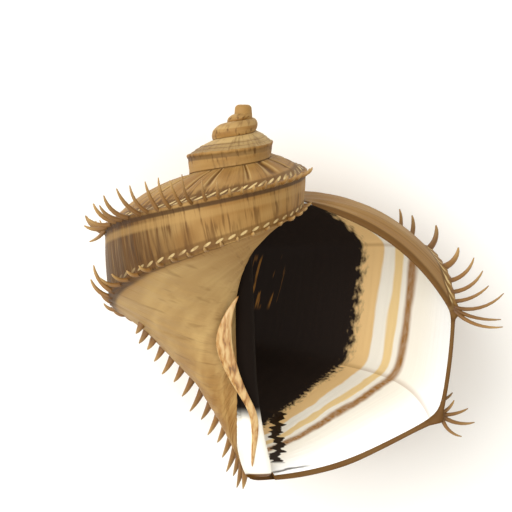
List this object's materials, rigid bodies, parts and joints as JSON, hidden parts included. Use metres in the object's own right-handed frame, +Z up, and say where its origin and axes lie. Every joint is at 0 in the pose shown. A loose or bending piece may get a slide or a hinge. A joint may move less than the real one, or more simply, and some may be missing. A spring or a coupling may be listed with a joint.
{
  "type": "fringed conch shell",
  "caption": "Right-handed coiled seashell with two keels on the last whorl, stiff bristle fringes along them and a wide open mouth.",
  "frame": {"origin": "bottom centre of the bounding box, on the surface that the shell lies on", "axes": "+Z up, out of the mouth; +Y towards the apex; +X towards the outer lip"},
  "size_m": [0.044, 0.041, 0.0302],
  "materials": {
    "shell": "matt tan, thin horny skin over chalky shell, cream and smooth inside the mouth"
  },
  "bodies": {
    "root": {"shell": "shell"}
  },
  "joints": []
}
